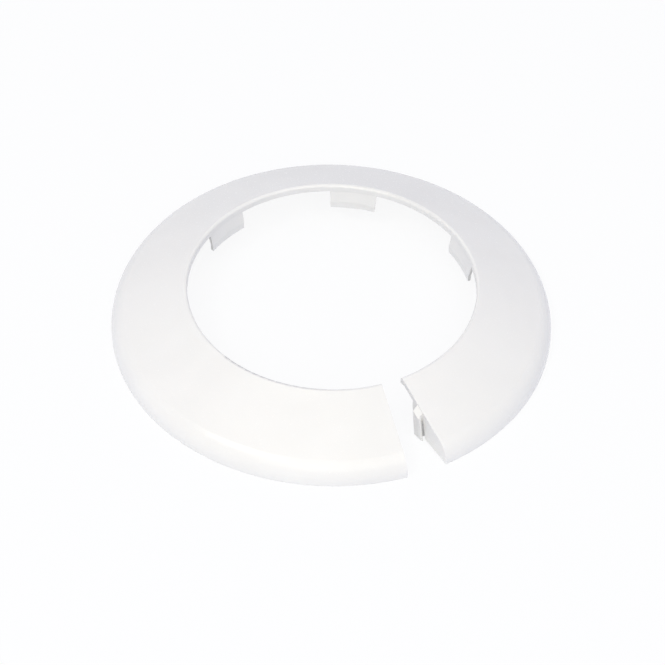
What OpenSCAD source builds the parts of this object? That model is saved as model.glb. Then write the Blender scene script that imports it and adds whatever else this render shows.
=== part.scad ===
// Split snap-on collar that covers the gap where a 110 mm soil pipe goes through a wall or a floor.
// It is one moulding: a domed ring, open underneath and cut through at one side, with gripping tabs
// round the bore and a hook and a catch at the two ends of the cut.
// The origin is on the pipe's axis in the plane of the rim, +Z points up the pipe, away from the wall,
// and the cut is at -Y. The collar is drawn as it lies relaxed, with the cut sprung open.

/* [Cover] */
// Diameter of the rim that lies against the wall
rim_d = 174; // [164:1:200]
// Height of the collar above the wall
height = 20; // [17:0.5:26]
// Thickness of the moulded wall
wall_t = 2; // [1.4:0.1:2.6]
// Radius of the rounded shoulder above the rim
shoulder_r = 9; // [6:0.5:11]
// Height of the collar's widest line above the wall
widest_z = 0.8; // [0.2:0.1:2]

/* [Bore] */
// Diameter of the lip round the bore, with the collar relaxed
lip_d = 113; // [100:0.5:118]
// Height of the lip, rounded edge included
lip_h = 3; // [2.6:0.1:4]
// Thickness of the lip
lip_t = 1.6; // [1.2:0.1:2.4]
// Radius of the lip's rounded edge
edge_r = 1; // [0.6:0.1:1.4]

/* [Gripping tabs] */
// Number of tabs round the bore
tab_count = 6; // [3:1:8]
// Width of a tab where it leaves the lip
tab_root_w = 19.4; // [19.4:0.1:24]
// Width of a tab at its tip
tab_tip_w = 18.2; // [14:0.1:19.4]
// Length of a tab below the lip
tab_len = 8; // [6:0.5:11]
// Thickness of a tab
tab_t = 1.2; // [0.8:0.1:1.5]
// How far a tab's root stands back from the lip's face
tab_step = 0.15; // [0.1:0.05:0.3]
// How far a tab's tip stands in from the lip
tab_set_in = 0.9; // [0.3:0.1:1.5]
// Height of the upright land at a tab's tip, which touches the pipe
tab_land = 3; // [2:0.5:5]
// Turn of the whole row of tabs towards the hook end, in degrees
tab_turn = 2.6; // [0:0.1:4]

/* [Cut] */
// Gap between the two ends, measured across the bore
cut_gap = 8; // [6:0.5:12]
// Angle by which the hook end's face turns away from its radius
hook_splay = 6.5; // [0:0.5:8]
// Angle by which the catch end's face turns away from its radius
catch_splay = 0; // [0:0.5:4]
// Thickness of the walls that close the two ends
end_wall_t = 1.6; // [1.2:0.1:2.4]
// Distance from the bore to the hook end's wall, along the cut
hook_wall_from = 8.3; // [6:0.1:9]
// Distance from the bore to the catch end's wall, along the cut
catch_wall_from = 6.3; // [5:0.1:7]
// Rise of the end walls' lower edge from the rim to the hook
foot_rise = 1.5; // [0.4:0.1:4]

/* [Hook] */
// Distance from the bore to the hook, along the cut
hook_from = 11.2; // [10.5:0.1:13]
// Width of the hook's neck
neck_w = 3.4; // [2.6:0.1:4]
// How far the neck stands out round the hook's root
neck_step = 0.15; // [0.1:0.05:0.3]
// Lean of the hook's inner side, from its top to its foot
neck_lean = 0.8; // [0.3:0.1:1.2]
// Height of the hook's foot above the wall
hook_foot_z = 0.2; // [0.2:0.1:2]
// Reach of the hook's foot past the cut
reach_foot = 1.3; // [1.1:0.1:1.8]
// Reach of the hook's crown past the cut
reach_crown = 2.1; // [1.9:0.1:3]
// Depth below the cover's surface at which the hook's ramp leaves the cut
ramp_step = 0.5; // [0.3:0.1:0.8]
// Width of the barb at the hook's top
barb_top_w = 0.3; // [0.1:0.1:0.8]
// Width of the barb at the hook's foot
barb_foot_w = 2; // [1:0.1:2.4]
// Depth of the bevel that leads the barb in
barb_bevel = 0.3; // [0.2:0.1:0.5]
// Gap between the cut and the back of the barb
barb_back = 0.5; // [0.4:0.1:0.6]
// Height of the solid wall at the inner side of the hook's wall
gusset_h = 3.6; // [2:0.1:4.5]
// Width of the slot beside the neck, at its foot
slot_foot_w = 3.2; // [2.5:0.1:4]
// Clearance between the hook and the catch
snap_gap = 0.2; // [0.1:0.05:0.4]

/* [Hidden] */
$fn = 96;

// How far a cutting shape runs past what it cuts
over = 1;
// How far a straight line of the section runs inside the circle it leaves, so that the two cross cleanly
blend = 0.005;

rim_r = rim_d / 2;
lip_r = lip_d / 2;
lip_out = lip_r + lip_t;

// The cover's section hangs on two circles and their common tangent, the slope.
edge_c = [lip_r + edge_r - blend, height - edge_r];
shoulder_c = [rim_r - shoulder_r, widest_z];
span = shoulder_c - edge_c;
slope = -atan2(span[1], span[0]) - asin((shoulder_r - edge_r) / norm(span));
slope_out = [sin(slope), cos(slope)];

// Height of the surface that lies depth below the slope, at radius r
function slope_z(r, depth) =
    shoulder_c[1] + (shoulder_r - depth - (r - shoulder_c[0]) * sin(slope)) / cos(slope);

// Half of the cut's angle at the bore, and the radius at a distance along the hook end's cut
cut_half = asin(cut_gap / 2 / lip_r);
function cut_r(along) = norm([lip_r + along * cos(hook_splay), along * sin(hook_splay)]);
rim_along = rim_r - lip_r;
past_rim = rim_along + over;

// The hook's outer side and its widest point
neck_out = hook_from + neck_w;
barb_out = neck_out + barb_foot_w;

// The cover's surface along the cut, and how steeply it falls there
function surface_z(along) = slope_z(cut_r(along), 0);
fall = atan((surface_z(hook_from) - surface_z(neck_out)) / neck_w);

// The hook's crown, which passes under the catch end's wall
crown_depth = wall_t + snap_gap;
function crown_z(along) = surface_z(along) - crown_depth / cos(fall);
hook_h = crown_z(hook_from) - hook_foot_z;
hook_lean = atan((reach_crown - reach_foot) / hook_h);

// Depth of the hook's ramp below the cover's surface, at a distance past the cut
function ramp_depth(past) = ramp_step + (crown_depth - ramp_step) * past / reach_crown;

tab_top_z = height - lip_h;
tab_tip_z = tab_top_z - tab_len;
tab_pitch = (360 - 2 * cut_half) / tab_count;

// What is cut off a corner to round it: all that lies outside a circle, between two directions
module round_off(centre, r, from_dir, to_dir) {
    far = rim_r;
    difference() {
        polygon([
            centre, centre + far * from_dir, centre + far * (from_dir + to_dir), centre + far * to_dir
        ]);
        translate(centre) circle(r);
    }
}

// Half section under the cover's surface sunk by depth, with the given points at its bore side
module under_cover(bore_side, depth) {
    past_r = rim_r + over;
    down_out = [1, -1];
    difference() {
        polygon(concat(bore_side, [[past_r, slope_z(past_r, depth + blend)], [past_r, bore_side[0][1]]]));
        round_off(shoulder_c, shoulder_r - depth, slope_out, down_out);
    }
}

// The domed wall with its lip, before the cut
module dome() {
    rotate_extrude() difference() {
        under_cover([[lip_r, 0], [lip_r, slope_z(lip_r, blend)]], 0);
        round_off(edge_c, edge_r, [-1, 0], slope_out);
        under_cover([
            [lip_r - over, -over], [lip_r - over, tab_top_z], [lip_out, tab_top_z],
            [lip_out, slope_z(lip_out, wall_t + blend)]
        ], wall_t);
    }
}

// One tab at angle zero: a leaning root, an upright land and sides that draw in
module tab() {
    in_r = lip_r - tab_set_in;
    root_z = tab_top_z + lip_h / 4;
    bend_z = tab_tip_z + tab_land;
    lean = (tab_set_in + tab_step) / (tab_top_z - bend_z);
    root_r = lip_r + tab_step + lean * (root_z - tab_top_z);
    intersection() {
        rotate_extrude() polygon([
            [in_r, tab_tip_z], [in_r, bend_z], [root_r, root_z],
            [root_r + tab_t, root_z], [in_r + tab_t, bend_z], [in_r + tab_t, tab_tip_z]
        ]);
        rotate([90, 0, 90]) linear_extrude(rim_r) polygon([
            [-tab_tip_w / 2, tab_tip_z - over], [-tab_root_w / 2, root_z + over],
            [tab_root_w / 2, root_z + over], [tab_tip_w / 2, tab_tip_z - over]
        ]);
    }
}

module tabs() {
    for (i = [0 : tab_count - 1])
        rotate(-90 + cut_half - tab_turn + (i + 0.5) * tab_pitch) tab();
}

// Puts its children at the hook side of the cut: x runs out along the face, y back into the ring
module at_end(splay) {
    rotate(-90 + cut_half) translate([lip_r, 0, 0]) rotate(splay) children();
}

// Draws an outline of (distance along the cut, height) as a plate between two depths behind the face
module upright(from_y, to_y) {
    translate([0, to_y, 0]) rotate([90, 0, 0]) linear_extrude(to_y - from_y) children();
}

// Draws an outline of (distance behind the face, height over the cover's surface) as a bar that follows
// the cover's slope along the cut
module along_slope() {
    translate([hook_from, 0, surface_z(hook_from)]) rotate([0, fall, 0]) rotate([90, 0, 90])
        translate([0, 0, -height]) linear_extrude(2 * height) children();
}

// The wedge taken out of the ring, between the two end faces
module cut() {
    in_bore = -lip_r / 4;
    function face_point(splay, along) =
        [lip_r * sin(cut_half) + along * sin(cut_half + splay),
         -lip_r * cos(cut_half) - along * cos(cut_half + splay)];
    hook_in = face_point(hook_splay, in_bore);
    hook_out = face_point(hook_splay, past_rim + over);
    catch_in = face_point(catch_splay, in_bore);
    catch_out = face_point(catch_splay, past_rim + over);
    translate([0, 0, -over]) linear_extrude(height + 2 * over) polygon([
        hook_in, hook_out, [-catch_out[0], catch_out[1]], [-catch_in[0], catch_in[1]]
    ]);
}

// Space under the middle of the wall's thickness, which the end walls are trimmed to
module inside_cover() {
    from_r = lip_r + lip_t / 2;
    depth = wall_t / 2;
    rotate_extrude() under_cover([[from_r, 0], [from_r, slope_z(from_r, depth + blend)]], depth);
}

// Lower edge of an end wall at a distance along the cut
function foot_z(along) = foot_rise * (rim_along - along) / (rim_along - barb_out);

// The hook end's wall: a gusset, the neck, the slot beside it and the outer web
module hook_wall() {
    neck_side = neck_out + neck_step;
    neck_foot_z = hook_foot_z - neck_step;
    slot_mid = neck_out + slot_foot_w / 2;
    slot_out = neck_out + slot_foot_w;
    gusset_z = slope_z(cut_r(hook_wall_from), wall_t) - gusset_h;
    at_end(hook_splay) upright(-over, end_wall_t) difference() {
        polygon([
            [hook_wall_from, height], [hook_wall_from, gusset_z],
            [hook_from + neck_lean - neck_step, neck_foot_z], [slot_mid, neck_foot_z],
            [slot_mid, foot_z(slot_mid)], [rim_along, 0], [past_rim, 0], [past_rim, height]
        ]);
        polygon([[neck_side, crown_z(neck_side)], [neck_side, -over], [slot_out, -over]]);
    }
}

// The hook: a leaning bar whose outer side carries a bevelled barb, and whose top is a ramp that falls
// from just under the cover's surface at the cut to the crown
module hook() {
    top_out = neck_out + barb_top_w;
    past_out = barb_out + over;
    past_crown = reach_crown + over;
    root = ramp_step / 2;
    bevel = barb_bevel * (barb_foot_w + over) / barb_foot_w;
    at_end(hook_splay) intersection() {
        upright(-past_crown, end_wall_t / 2) polygon([
            [hook_from, surface_z(hook_from)], [hook_from + neck_lean, hook_foot_z],
            [barb_out, hook_foot_z], [top_out, surface_z(top_out)]
        ]);
        translate([0, 0, hook_foot_z]) rotate([hook_lean, 0, 0]) translate([0, 0, -over])
            linear_extrude(height) polygon([
                [hook_from - over, -reach_foot], [neck_out, -reach_foot],
                [past_out, bevel - reach_foot], [past_out, -barb_back], [neck_out, -barb_back],
                [neck_out, height], [hook_from - over, height]
            ]);
        mirror([0, 1, 0]) along_slope() polygon([
            [-end_wall_t, -ramp_depth(-root)], [-root, -ramp_depth(-root)],
            [past_crown, -ramp_depth(past_crown)], [past_crown, -height], [-end_wall_t, -height]
        ]);
    }
}

// The catch end's wall, notched for the hook and thinned behind the edge that the barb grips
module catch_wall() {
    notch_in = hook_from - barb_foot_w - snap_gap;
    notch_out = neck_out + snap_gap;
    thin_t = barb_back - snap_gap / 2;
    mirror([1, 0, 0]) at_end(catch_splay) difference() {
        upright(-over, end_wall_t) polygon([
            [catch_wall_from, height], [catch_wall_from, foot_z(catch_wall_from)],
            [notch_in, foot_z(notch_in)], [notch_in, height], [notch_out, height],
            [notch_out, foot_z(notch_out)], [rim_along, 0], [past_rim, 0], [past_rim, height]
        ]);
        upright(thin_t, end_wall_t + over) polygon([
            [notch_out - over, -over], [notch_out - over, crown_z(notch_out) - barb_foot_w],
            [notch_out, crown_z(notch_out) - barb_foot_w], [barb_out + snap_gap, -over]
        ]);
    }
}

// Seat under the catch end's edge that takes the hook's ramp
module catch_seat() {
    seat_in = hook_from - snap_gap;
    seat_out = neck_out + barb_top_w + snap_gap;
    mirror([1, 0, 0]) at_end(catch_splay) intersection() {
        upright(-over, reach_crown + over)
            polygon([[seat_in, 0], [seat_out, 0], [seat_out, height], [seat_in, height]]);
        along_slope() polygon([
            [-over, -ramp_step], [snap_gap, -ramp_step],
            [reach_crown + snap_gap, -crown_depth], [-over, -crown_depth]
        ]);
    }
}

module collar() {
    color([0.95, 0.95, 0.94]) union() {
        difference() {
            union() {
                dome();
                tabs();
                intersection() {
                    union() {
                        hook_wall();
                        catch_wall();
                    }
                    inside_cover();
                }
            }
            cut();
            catch_seat();
        }
        hook();
    }
}

collar();
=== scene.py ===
import math

import bpy
from mathutils import Euler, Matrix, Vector

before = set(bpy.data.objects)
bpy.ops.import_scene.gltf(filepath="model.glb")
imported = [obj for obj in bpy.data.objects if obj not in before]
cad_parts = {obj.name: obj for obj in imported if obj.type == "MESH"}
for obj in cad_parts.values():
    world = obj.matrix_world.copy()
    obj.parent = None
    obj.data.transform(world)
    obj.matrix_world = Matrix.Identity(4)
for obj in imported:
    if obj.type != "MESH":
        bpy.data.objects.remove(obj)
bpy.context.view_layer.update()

MM = 0.001


def linear(hex_colour):
    """An sRGB hex colour as the linear colour, with alpha, that a socket takes."""
    channels = [int(hex_colour[i:i + 2], 16) / 255 for i in (0, 2, 4)]
    return [c / 12.92 if c <= 0.04045 else ((c + 0.055) / 1.055) ** 2.4 for c in channels] + [1.0]


def add(tree, kind, settings=None, values=None, links=None):
    """Adds a node: its own settings, its sockets' values, and what each socket is linked from."""
    node = tree.nodes.new(kind)
    for name, value in (settings or {}).items():
        setattr(node, name, value)
    for name, value in (values or {}).items():
        node.inputs[name].default_value = value
    for name, source in (links or {}).items():
        tree.links.new(source, node.inputs[name])
    return node


def new_material(name):
    """An empty material and its node tree."""
    material = bpy.data.materials.new(name)
    material.use_nodes = True
    material.node_tree.nodes.clear()
    return material, material.node_tree


# The collar

CLOUD_LIGHT = "F2F1EE"
CLOUD_DARK = "EFEEEB"
CLOUD_WIDTH = 35 * MM
RIPPLE_WIDTH = 6 * MM
RIPPLE_HEIGHT = 0.02 * MM
GRAIN_WIDTH = 0.6 * MM
GRAIN_HEIGHT = 0.004 * MM
GLOSS_FINE = 0.22
GLOSS_WORN = 0.28
PLASTIC_IOR = 1.49
GLOW_SHARE = 0.2
GLOW_DEPTH = 1.2 * MM
GLOW_OF_COLOURS = (1.0, 0.95, 0.9)


def moulded_white_plastic():
    """Glossy polypropylene, injection moulded in a polished tool: bright white, soft highlights with a
    faint ripple from shrinkage, and a slight glow inside the thin walls."""
    material, tree = new_material("glossy white polypropylene, injection moulded")
    place = add(tree, "ShaderNodeTexCoord").outputs["Object"]

    # Shrinkage ripple, a few microns high
    ripple = add(tree, "ShaderNodeTexNoise",
                 values={"Scale": 1 / RIPPLE_WIDTH, "Detail": 1.0, "Roughness": 0.4}, links={"Vector": place})
    # Grain of the tool's polish: really 0.1 mm wide, drawn coarser so that it shows
    grain = add(tree, "ShaderNodeTexNoise",
                values={"Scale": 1 / GRAIN_WIDTH, "Detail": 3.0, "Roughness": 0.6}, links={"Vector": place})
    # Wide, faint clouds where the melt flowed round the ring
    flow = add(tree, "ShaderNodeTexNoise",
               values={"Scale": 1 / CLOUD_WIDTH, "Detail": 2.0, "Distortion": 0.6}, links={"Vector": place})

    colour = add(tree, "ShaderNodeValToRGB", links={"Fac": flow.outputs["Fac"]})
    colour.color_ramp.elements[0].position = 0.35
    colour.color_ramp.elements[0].color = linear(CLOUD_DARK)
    colour.color_ramp.elements[1].position = 0.65
    colour.color_ramp.elements[1].color = linear(CLOUD_LIGHT)

    # Handling leaves the gloss a little uneven
    gloss = add(tree, "ShaderNodeMapRange",
                values={"From Min": 0.3, "From Max": 0.7, "To Min": GLOSS_FINE, "To Max": GLOSS_WORN},
                links={"Value": grain.outputs["Fac"]})

    ripple_bump = add(tree, "ShaderNodeBump", values={"Strength": 0.25, "Distance": RIPPLE_HEIGHT},
                      links={"Height": ripple.outputs["Fac"]})
    grain_bump = add(tree, "ShaderNodeBump", values={"Strength": 0.3, "Distance": GRAIN_HEIGHT},
                     links={"Height": grain.outputs["Fac"], "Normal": ripple_bump.outputs["Normal"]})

    plastic = add(tree, "ShaderNodeBsdfPrincipled",
                  values={"IOR": PLASTIC_IOR, "Subsurface Weight": GLOW_SHARE,
                          "Subsurface Radius": GLOW_OF_COLOURS, "Subsurface Scale": GLOW_DEPTH},
                  links={"Base Color": colour.outputs["Color"], "Roughness": gloss.outputs["Result"],
                         "Normal": grain_bump.outputs["Normal"]})
    add(tree, "ShaderNodeOutputMaterial", links={"Surface": plastic.outputs["BSDF"]})
    return material


def finish_collar(collar):
    """Gives the moulding its plastic. The solid's own smooth normals carry the curves."""
    collar.data.materials.clear()
    collar.data.materials.append(moulded_white_plastic())


# The photograph's camera, as the collar's outline and bore give it. The scale holds at the origin

CAMERA_DISTANCE = 0.8
CAMERA_AZIMUTH = -113.6
CAMERA_ELEVATION = 45.3
CAMERA_ROLL = 1.0
SENSOR_MM = 36
PIXELS_PER_MM = 2.517
ORIGIN_AT = (331.4, 318.0)
FRAME = 665
CAMERA_NEAR = 0.05
CAMERA_FAR = 50

# The studio: lamps a little warm, the room and the paper a little cool, as in the photograph

LAMP_DISTANCE = 1.5
LAMP_TINT = "FFFCEA"
KEY_FROM_CAMERA = -57
KEY_ELEVATION = 56
KEY_SIZE = 0.45
KEY_WATTS = 3.9
FRONT_FROM_CAMERA = 5
FRONT_ELEVATION = 52
FRONT_SIZE = 1.8
FRONT_WATTS = 11.1

ROOM_LIGHT = 0.645
ROOM_TINT = "EBEDFF"
WHITE = "FFFFFF"

FLOOR_HALF = 3.0
FLOOR_GAP = 0.05 * MM
FLOOR_WHITENESS = 0.9
FLOOR_PAPER = "F0F3FA"


def direction(azimuth, elevation):
    """The unit vector that points to an azimuth and an elevation, in degrees."""
    a, e = math.radians(azimuth), math.radians(elevation)
    return Vector((math.cos(e) * math.cos(a), math.cos(e) * math.sin(a), math.sin(e)))


def photo_camera():
    """The photograph's camera: the collar's origin lands at ORIGIN_AT in a frame of 665 by 665."""
    data = bpy.data.cameras.new("photo camera")
    camera = bpy.data.objects.new("photo camera", data)
    bpy.context.scene.collection.objects.link(camera)
    away = direction(CAMERA_AZIMUTH, CAMERA_ELEVATION)
    camera.location = away * CAMERA_DISTANCE
    focal = PIXELS_PER_MM / MM * CAMERA_DISTANCE
    data.sensor_width = SENSOR_MM
    data.lens = focal / FRAME * SENSOR_MM
    data.clip_start = CAMERA_NEAR
    data.clip_end = CAMERA_FAR
    right = math.atan((ORIGIN_AT[0] - FRAME / 2) / focal)
    down = math.atan((ORIGIN_AT[1] - FRAME / 2) / focal)
    look = (-away).to_track_quat("-Z", "Y")
    camera.rotation_mode = "QUATERNION"
    camera.rotation_quaternion = look @ Euler((down, right, math.radians(CAMERA_ROLL))).to_quaternion()
    bpy.context.scene.camera = camera


def soft_light(name, from_camera, elevation, size, watts):
    """A round softbox that looks at the origin, turned from the camera's side by from_camera degrees."""
    data = bpy.data.lights.new(name, "AREA")
    data.shape = "DISK"
    data.size = size
    data.energy = watts
    data.color = linear(LAMP_TINT)[:3]
    lamp = bpy.data.objects.new(name, data)
    away = direction(CAMERA_AZIMUTH + from_camera, elevation)
    lamp.location = away * LAMP_DISTANCE
    lamp.rotation_mode = "QUATERNION"
    lamp.rotation_quaternion = (-away).to_track_quat("-Z", "Y")
    bpy.context.scene.collection.objects.link(lamp)


def seen_directly(tree):
    """1 where the camera, a reflection or a see-through part looks at the surface, 0 for light."""
    path = add(tree, "ShaderNodeLightPath")
    mirrored = add(tree, "ShaderNodeMath", {"operation": "MAXIMUM"},
                   links={0: path.outputs["Is Camera Ray"], 1: path.outputs["Is Glossy Ray"]})
    return add(tree, "ShaderNodeMath", {"operation": "MAXIMUM"},
               links={0: mirrored.outputs[0], 1: path.outputs["Is Transmission Ray"]}).outputs[0]


def studio_floor():
    """White paper sweep. Looked at directly it is near white and keeps part of the collar's shadow."""
    mesh = bpy.data.meshes.new("paper floor")
    mesh.from_pydata([(-FLOOR_HALF, -FLOOR_HALF, 0), (FLOOR_HALF, -FLOOR_HALF, 0),
                      (FLOOR_HALF, FLOOR_HALF, 0), (-FLOOR_HALF, FLOOR_HALF, 0)], [], [(0, 1, 2, 3)])
    floor = bpy.data.objects.new("paper_floor", mesh)
    floor.location.z = -FLOOR_GAP
    bpy.context.scene.collection.objects.link(floor)
    material, tree = new_material("white paper floor")
    paper = add(tree, "ShaderNodeBsdfDiffuse", values={"Color": linear(FLOOR_PAPER)})
    white = add(tree, "ShaderNodeEmission", values={"Color": linear(WHITE), "Strength": 1.0})
    share = add(tree, "ShaderNodeMath", {"operation": "MULTIPLY"}, values={1: FLOOR_WHITENESS},
                links={0: seen_directly(tree)})
    mixed = add(tree, "ShaderNodeMixShader",
                links={0: share.outputs[0], 1: paper.outputs[0], 2: white.outputs[0]})
    add(tree, "ShaderNodeOutputMaterial", links={"Surface": mixed.outputs[0]})
    mesh.materials.append(material)


def studio_world():
    """A white room: white where it is seen, and a softer, slightly cool level where it lights."""
    world = bpy.data.worlds.new("white studio")
    bpy.context.scene.world = world
    world.use_nodes = True
    tree = world.node_tree
    tree.nodes.clear()
    lighting = add(tree, "ShaderNodeBackground", values={"Color": linear(ROOM_TINT), "Strength": ROOM_LIGHT})
    white = add(tree, "ShaderNodeBackground", values={"Color": linear(WHITE), "Strength": 1.0})
    room = add(tree, "ShaderNodeMixShader",
               links={0: seen_directly(tree), 1: lighting.outputs[0], 2: white.outputs[0]})
    add(tree, "ShaderNodeOutputWorld", links={"Surface": room.outputs[0]})


finish_collar(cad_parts["collar"])
photo_camera()
studio_floor()
studio_world()
soft_light("key", KEY_FROM_CAMERA, KEY_ELEVATION, KEY_SIZE, KEY_WATTS)
soft_light("front", FRONT_FROM_CAMERA, FRONT_ELEVATION, FRONT_SIZE, FRONT_WATTS)

bpy.context.scene.view_settings.view_transform = "Standard"
